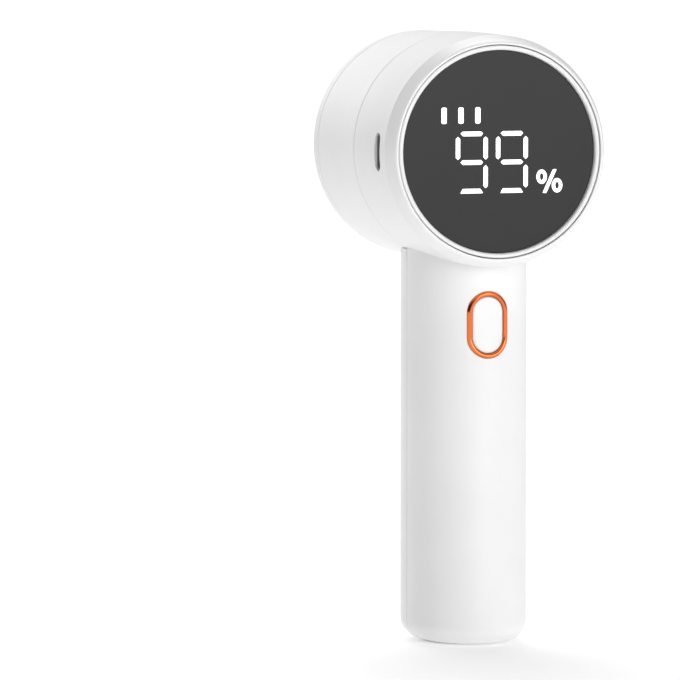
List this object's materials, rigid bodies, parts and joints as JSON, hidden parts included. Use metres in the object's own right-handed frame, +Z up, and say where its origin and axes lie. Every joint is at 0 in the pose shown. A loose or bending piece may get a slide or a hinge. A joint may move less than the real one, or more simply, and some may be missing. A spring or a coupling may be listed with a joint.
{
  "type": "fabric shaver",
  "caption": "Cordless fabric shaver: a round head with a domed cutting net and a numeric display on a straight handle with a lift-off lint bin.",
  "frame": {"origin": "centre of the flat foot at the lower end of the handle", "axes": "+Z up along the handle, -Y towards the display side, +Y towards the cutting net, -X towards the charging socket"},
  "size_m": [0.0638, 0.0712, 0.1679],
  "materials": {
    "shell": "satin white moulded ABS",
    "white_inner": "matt white moulded plastic",
    "lens": "polished smoked lens",
    "digits": "lit white light guide",
    "copper": "polished rose-gold plating",
    "steel": "satin steel",
    "net": "fine satin enamel on steel",
    "smoke": "smoked clear plastic",
    "liner": "grey matt moulded plastic",
    "board": "green solder mask",
    "dark": "black moulded plastic",
    "pad": "soft pale silicone",
    "cell": "blue shrink sleeve",
    "red_wire": "red insulation",
    "black_wire": "black insulation",
    "brass": "sintered bronze"
  },
  "bodies": {
    "housing": {"front_shell": "shell", "rear_shell": "shell", "handle_core": "white_inner", "bin_liner": "liner", "base_pad": "pad", "display_lens": "lens", "display_trim_ring": "shell", "display_light_guide": "digits", "display_frame": "dark", "display_pcb": "board", "button_bezel": "copper", "power_switch": "dark", "main_pcb": "board", "usb_socket": "steel", "usb_tongue": "dark", "charge_pcb": "board", "motor_can": "steel", "motor_end_cap": "dark", "motor_magnet_left": "dark", "motor_magnet_right": "dark", "motor_bush_front": "brass", "motor_bush_rear": "brass", "motor_mount": "white_inner", "motor_screw_left": "steel", "motor_screw_right": "steel", "core_screw_left": "steel", "core_screw_right": "steel", "head_screw_1": "steel", "head_screw_2": "steel", "head_screw_3": "steel", "blade_chamber": "liner", "battery_cell": "cell", "battery_tab_top": "steel", "battery_tab_bottom": "steel", "cell_lead_red": "red_wire", "cell_lead_black": "black_wire", "motor_lead_red": "red_wire", "motor_lead_black": "black_wire"},
    "rotor": {"motor_shaft": "steel", "rotor_core": "dark", "suction_fan": "white_inner", "drive_hub": "dark", "blade_carrier": "white_inner", "blade_1": "steel", "blade_2": "steel", "blade_3": "steel", "blade_4": "steel", "blade_5": "steel", "blade_6": "steel"},
    "button": {"power_button": "shell"},
    "net_cartridge": {"net_plate": "net", "net_carrier": "white_inner"},
    "lock_ring": {"net_lock_ring": "shell"},
    "lint_bin": {"bin_cover": "shell", "bin_window": "smoke"}
  },
  "joints": [
    {"name": "blade_spin", "type": "hinge", "parent": "housing", "child": "rotor", "pos_m": [0, 0, 0.136], "axis": [0, 1, 0], "continuous": true},
    {"name": "button_press", "type": "slide", "parent": "housing", "child": "button", "axis": [0, 1, 0], "range_m": [0, 0.0008], "stiffness_N_per_m": 1200, "springref_m": -0.0005},
    {"name": "net_liftoff", "type": "slide", "parent": "housing", "child": "net_cartridge", "axis": [0, 1, 0], "range_m": [0, 0.026]},
    {"name": "lock_twist", "type": "hinge", "parent": "net_cartridge", "child": "lock_ring", "pos_m": [0, 0.036, 0.136], "axis": [0, 1, 0], "range_deg": [0, 25]},
    {"name": "bin_liftoff", "type": "slide", "parent": "housing", "child": "lint_bin", "axis": [0, 1, 0], "range_m": [0, 0.04]}
  ]
}
